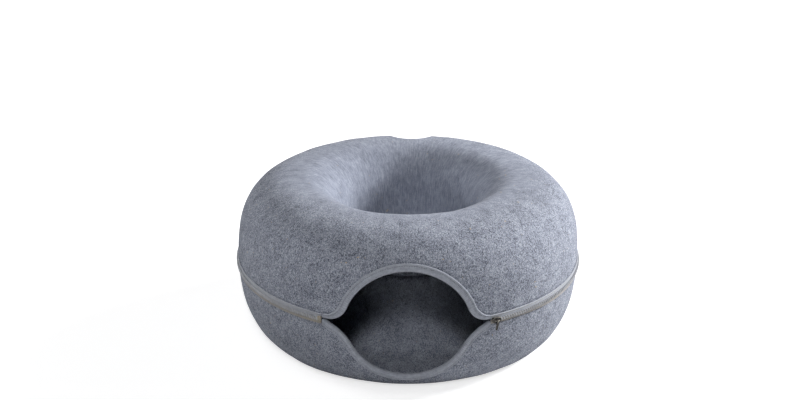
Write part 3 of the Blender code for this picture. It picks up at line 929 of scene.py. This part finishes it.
TOOTH_PITCH = 0.0040
TOOTH_WIDTH = 0.0026
TOOTH_LOW = -0.0032
TOOTH_HIGH = 0.0022
TOOTH_LEAN = 0.0012
TOOTH_OUT = 0.0014
TOOTH = 0.0021
# Sizes of a tooth at levels from its lower to its upper end: (share of its height, width, thickness)
TOOTH_LEVELS = (
    (0.0, 0.50, 0.55),
    (0.10, 0.86, 0.88),
    (0.38, 1.0, 1.0),
    (0.5, 0.86, 0.93),
    (0.62, 1.0, 1.0),
    (0.90, 0.86, 0.88),
    (1.0, 0.50, 0.55),
)
TOOTH_SIDES = 8
TOOTH_SQUARENESS = 0.75
TOOTH_JITTER = 0.02
TOOTH_SEED = 5


def slider_end():
    return SLIDER_AZIMUTH + math.degrees((SLIDER_LENGTH / 2 + GAP) / RING_RADIUS)


def stop_azimuth():
    return BINDING_LEFT_END - math.degrees((STOP_LENGTH / 2 + GAP) / RING_RADIUS)


def make_teeth():
    """The closed chain: slanting rounded teeth, waisted where the two rows meet, in one mesh."""
    start = slider_end()
    end = 360 + stop_azimuth() - math.degrees((STOP_LENGTH / 2 + GAP) / RING_RADIUS)
    pitch = math.degrees(TOOTH_PITCH / (RING_RADIUS + TOOTH_OUT))
    count = int((end - start) / pitch)
    rng = random.Random(TOOTH_SEED)
    turns = 2 * math.pi * (np.arange(TOOTH_SIDES) + 0.5) / TOOTH_SIDES
    across, out = (np.sign(v) * np.abs(v) ** TOOTH_SQUARENESS for v in (np.cos(turns), np.sin(turns)))
    stacks = []
    for k in range(count):
        azimuth = start + (k + 0.5) * (end - start) / count + rng.uniform(-TOOTH_JITTER, TOOTH_JITTER)
        stack = []
        for share, wide, thick in TOOTH_LEVELS:
            height = ZIP_HEIGHT + TOOTH_LOW + share * (TOOTH_HIGH - TOOTH_LOW)
            along = (0.5 - share) * 2 * TOOTH_LEAN + 0.5 * TOOTH_WIDTH * wide * across
            radius = RING_RADIUS + TOOTH_OUT + 0.5 * TOOTH * (1 + thick * out)
            stack.append(around(azimuth + np.degrees(along / RING_RADIUS), radius, height))
        stacks.append(stack)
    return joined("zip_teeth", stacks, COIL_LOOK, 60)


# ------------------------------------------------------------------ slider and pull
# Places here are (along the zip, off the felt, up), measured from the zip line at the slider's azimuth.

PLATE = 0.0010
BACK_PLATE = 0.0008
PLATE_ROUNDING = 0.0004
PLATE_FULLNESS = 3.4
FLANGE = 0.0009
FLANGE_REACH = 0.0008
FLANGE_ROUNDING = 0.00015
BACK_FLANGE_ROUNDING = 0.00010
FLANGE_FROM, FLANGE_TO = -0.30, 0.46
# The wedge's outline between the plates, as shares of the slider's length
WEDGE = ((-0.46, 0.09), (-0.46, -0.09), (-0.2, -0.06), (-0.08, 0.0), (-0.2, 0.06))
WEDGE_ROUNDING = 0.0001
BAIL_STEPS = 16
PULL_RING_STEPS = 24


def slider_half_height(along):
    """Half the slider's height: wide at the mouth's end, narrow at its nose over the closed chain."""
    share = along / SLIDER_LENGTH + 0.5
    return 0.5 * (SLIDER_HEIGHT + share * (SLIDER_NOSE_HEIGHT - SLIDER_HEIGHT))


def rounded_outline(half_length, half_width, count=28):
    """Points (along, across) of a full rounded outline whose half width depends on the place along it."""
    points = []
    for k in range(count):
        turn = 2 * math.pi * (k + 0.5) / count
        place = (math.cos(turn), math.sin(turn))
        along, across = (math.copysign(abs(v) ** (2 / PLATE_FULLNESS), v) for v in place)
        points.append((half_length * along, half_width(half_length * along) * across))
    return points


def at_slider(stack):
    """Turns loops measured from the slider's place on the zip line into places in the world."""
    turn = math.radians(SLIDER_AZIMUTH)
    axes = np.array([
        (math.cos(turn), math.sin(turn), 0.0),
        (math.sin(turn), -math.cos(turn), 0.0),
        (0.0, 0.0, 1.0),
    ])
    return around(SLIDER_AZIMUTH, RING_RADIUS, ZIP_HEIGHT) + np.asarray(stack) @ axes


def make_slider():
    """The slider: two plates on a wedge, flanges along their edges, and the bail that the pull hangs from."""
    outline = rounded_outline(SLIDER_LENGTH / 2, slider_half_height)
    front_inside, back_inside = SLIDER_FRONT - PLATE, SLIDER_BACK + BACK_PLATE
    stacks = [
        plate(outline, rounded(front_inside, SLIDER_FRONT, PLATE_ROUNDING)),
        plate(outline, rounded(SLIDER_BACK, back_inside, PLATE_ROUNDING / 2)),
    ]
    start, end = FLANGE_FROM * SLIDER_LENGTH, FLANGE_TO * SLIDER_LENGTH
    inset = PLATE_ROUNDING / 2
    front = rounded(front_inside - FLANGE_REACH, front_inside + PLATE_ROUNDING, FLANGE_ROUNDING)
    rear = rounded(back_inside - inset, back_inside + FLANGE_REACH / 2, BACK_FLANGE_ROUNDING)
    for sign in (-1, 1):
        rail = [
            (start, sign * (slider_half_height(start) - inset)),
            (end, sign * (slider_half_height(end) - inset)),
            (end, sign * (slider_half_height(end) - inset - FLANGE)),
            (start, sign * (slider_half_height(start) - inset - FLANGE)),
        ]
        stacks += [plate(rail, front), plate(rail, rear)]
    wedge = [(x * SLIDER_LENGTH, z * SLIDER_LENGTH) for x, z in WEDGE]
    inside = rounded(SLIDER_BACK + BACK_PLATE / 2, SLIDER_FRONT - PLATE / 2, WEDGE_ROUNDING)
    stacks.append(plate(wedge, inside))
    arch = []
    for turn in np.linspace(0.0, math.pi, BAIL_STEPS + 1):
        out = SLIDER_FRONT - BAIL_WIRE + (BAIL_RISE + BAIL_WIRE) * math.sin(turn)
        arch.append((-BAIL_HALF_LENGTH * math.cos(turn), out, 0.0))
    stacks.append(tube(arch, BAIL_WIRE, (0.0, 0.0, 1.0)))
    return joined("slider", [at_slider(stack) for stack in stacks], METAL_LOOK, 40)


def make_pull():
    """The pull: a small ring in the bail, and a tab with a raised rim that leans back on the wall."""
    hang = (0.0, SLIDER_FRONT + BAIL_RISE, BAIL_WIRE + GAP - (PULL_RING_RADIUS - PULL_RING_WIRE))
    ring = [
        (0.0, PULL_RING_RADIUS * math.sin(turn), PULL_RING_RADIUS * math.cos(turn))
        for turn in np.linspace(0.0, 2 * math.pi, PULL_RING_STEPS + 1)
    ]
    middle = -PULL_RING_RADIUS - PULL_LENGTH / 2

    def half_width(down):
        return 0.5 * (PULL_WIDTH + (down / PULL_LENGTH + 0.5) * (PULL_TIP_WIDTH - PULL_WIDTH))

    outline = [(across, middle - down) for down, across in rounded_outline(PULL_LENGTH / 2, half_width)]
    face = PULL / 2
    levels = rounded(-face, face, PULL_ROUNDING) + ((PULL_RIM, face), (PULL_RIM_FOOT, face - PULL_RECESS))
    stacks = [tube(ring, PULL_RING_WIRE, (1.0, 0.0, 0.0)), plate(outline, levels)]
    lean = np.array([
        (1.0, 0.0, 0.0),
        (0.0, math.cos(PULL_LEAN), -math.sin(PULL_LEAN)),
        (0.0, math.sin(PULL_LEAN), math.cos(PULL_LEAN)),
    ])
    return joined("pull", [at_slider(np.asarray(stack) @ lean + hang) for stack in stacks], METAL_LOOK, 40)


# ------------------------------------------------------------------ the pieces

for side in ("upper", "lower"):
    shell = make_shell(side, f"felt_{side}")
    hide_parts(f"{side}_shell")
    binding = make_binding(side)
    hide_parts(f"{side}_binding")
    seam = make_binding_stitches(side)
    tape = make_tape(side)
    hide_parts(f"{side}_zip_tape")
    sewing = make_tape_stitches(side)
    for piece in (shell, binding, seam, tape, sewing):
        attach(piece, "root")

teeth = make_teeth()
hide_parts("zip_chain")
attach(teeth, "root")

for made, node in ((make_slider(), "zip_slider"), (make_pull(), "zip_pull")):
    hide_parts(node)
    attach(made, "root")

# The stop keeps its solid, with a better material
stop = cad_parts["zip_end_stop"].data.materials
stop.clear()
stop.append(STOP_LOOK)


# ------------------------------------------------------------------ floor, light and camera

FLOOR_HALF = 3.0
FLOOR_DROP = 0.0003
FLOOR_LIFT = 0.68
WORLD_LIGHT = 0.012
LIGHT_DISTANCE = 4.0
# The light comes mostly from the right, a little behind. Softer ones fill in from in front, above and the
# left. Each has a name, azimuth, elevation, width, height and strength.
LIGHTS = (
    ("key", 111.0, 26.5, 1.6, 1.1, 1.74),
    ("front_low", -12.0, 30.0, 0.7, 0.7, 0.05),
    ("front_high", -2.0, 42.0, 0.6, 0.6, 0.24),
    ("top", -60.0, 66.0, 2.4, 2.4, 0.16),
    ("left", -112.0, 16.0, 1.6, 1.6, 0.38),
)
# The camera's place, and its frame in pixels: size, focal length and the point that it looks at
ELEVATION = math.radians(24.12)
DISTANCE = 1.87
ROLL = 0.0057
WIDTH, HEIGHT = 800, 400
FOCAL = 1255.6
LOOKS_AT = (407.95, 247.43)
SENSOR = 36.0


def stage_material():
    """A plain white ground: matt, and lifted for the eye alone, so that it throws no extra light."""
    n = Nodes("floor")
    grain = n.noise(n.place(), 3.0, 2.0)
    n.set(Base_Color=n.ramp(grain, ((0.3, (0.62, 0.62, 0.625)), (0.7, (0.64, 0.64, 0.64)))), Roughness=0.9)
    seen = n.add("ShaderNodeLightPath").outputs["Is Camera Ray"]
    n.set(Emission_Color=(1.0, 1.0, 1.0, 1.0))
    n.put(n.shader.inputs["Emission Strength"], n.maths("MULTIPLY", seen, FLOOR_LIFT))
    return n.material


def area_light(name, azimuth, elevation, size, height, strength):
    """A soft oval light at an azimuth and elevation about the cave, turned to it."""
    light = bpy.data.lights.new(name, "AREA")
    light.shape = "ELLIPSE"
    light.size = size
    light.size_y = height
    light.energy = strength * math.pi**2 * LIGHT_DISTANCE**2
    lamp = bpy.data.objects.new(name, light)
    bpy.context.scene.collection.objects.link(lamp)
    turn, rise = math.radians(azimuth), math.radians(elevation)
    away = Vector((math.sin(turn) * math.cos(rise), -math.cos(turn) * math.cos(rise), math.sin(rise)))
    lamp.location = MIDDLE + LIGHT_DISTANCE * away
    lamp.rotation_euler = away.to_track_quat("Z", "Y").to_euler()


MIDDLE = Vector((0.0, AXIS_Y, RING_HEIGHT / 2))

corners = [(x * FLOOR_HALF, y * FLOOR_HALF, -FLOOR_DROP) for x, y in ((-1, -1), (1, -1), (1, 1), (-1, 1))]
floor = obj_from("floor", corners, [(0, 1, 2, 3)], stage_material())

for facts in LIGHTS:
    area_light(*facts)

world = bpy.data.worlds.new("studio")
world.use_nodes = True
background = world.node_tree.nodes["Background"]
background.inputs["Color"].default_value = (1.0, 1.0, 1.0, 1.0)
seen = world.node_tree.nodes.new("ShaderNodeLightPath")
lifted = world.node_tree.nodes.new("ShaderNodeMapRange")
world.node_tree.links.new(seen.outputs["Is Camera Ray"], lifted.inputs["Value"])
lifted.inputs["To Min"].default_value = WORLD_LIGHT
world.node_tree.links.new(lifted.outputs["Result"], background.inputs["Strength"])
bpy.context.scene.world = world
bpy.context.scene.view_settings.view_transform = "Standard"

lens = bpy.data.cameras.new("camera")
lens.sensor_width = SENSOR
lens.lens = FOCAL * SENSOR / WIDTH
lens.shift_x = (WIDTH / 2 - LOOKS_AT[0]) / WIDTH
lens.shift_y = (LOOKS_AT[1] - HEIGHT / 2) / WIDTH
camera = bpy.data.objects.new("camera", lens)
bpy.context.scene.collection.objects.link(camera)
camera.location = MIDDLE + DISTANCE * Vector((0.0, -math.cos(ELEVATION), math.sin(ELEVATION)))
camera.rotation_mode = "QUATERNION"
look = Euler((0.5 * math.pi - ELEVATION, 0.0, 0.0)).to_quaternion()
camera.rotation_quaternion = look @ Quaternion((0.0, 0.0, 1.0), ROLL)
bpy.context.scene.camera = camera
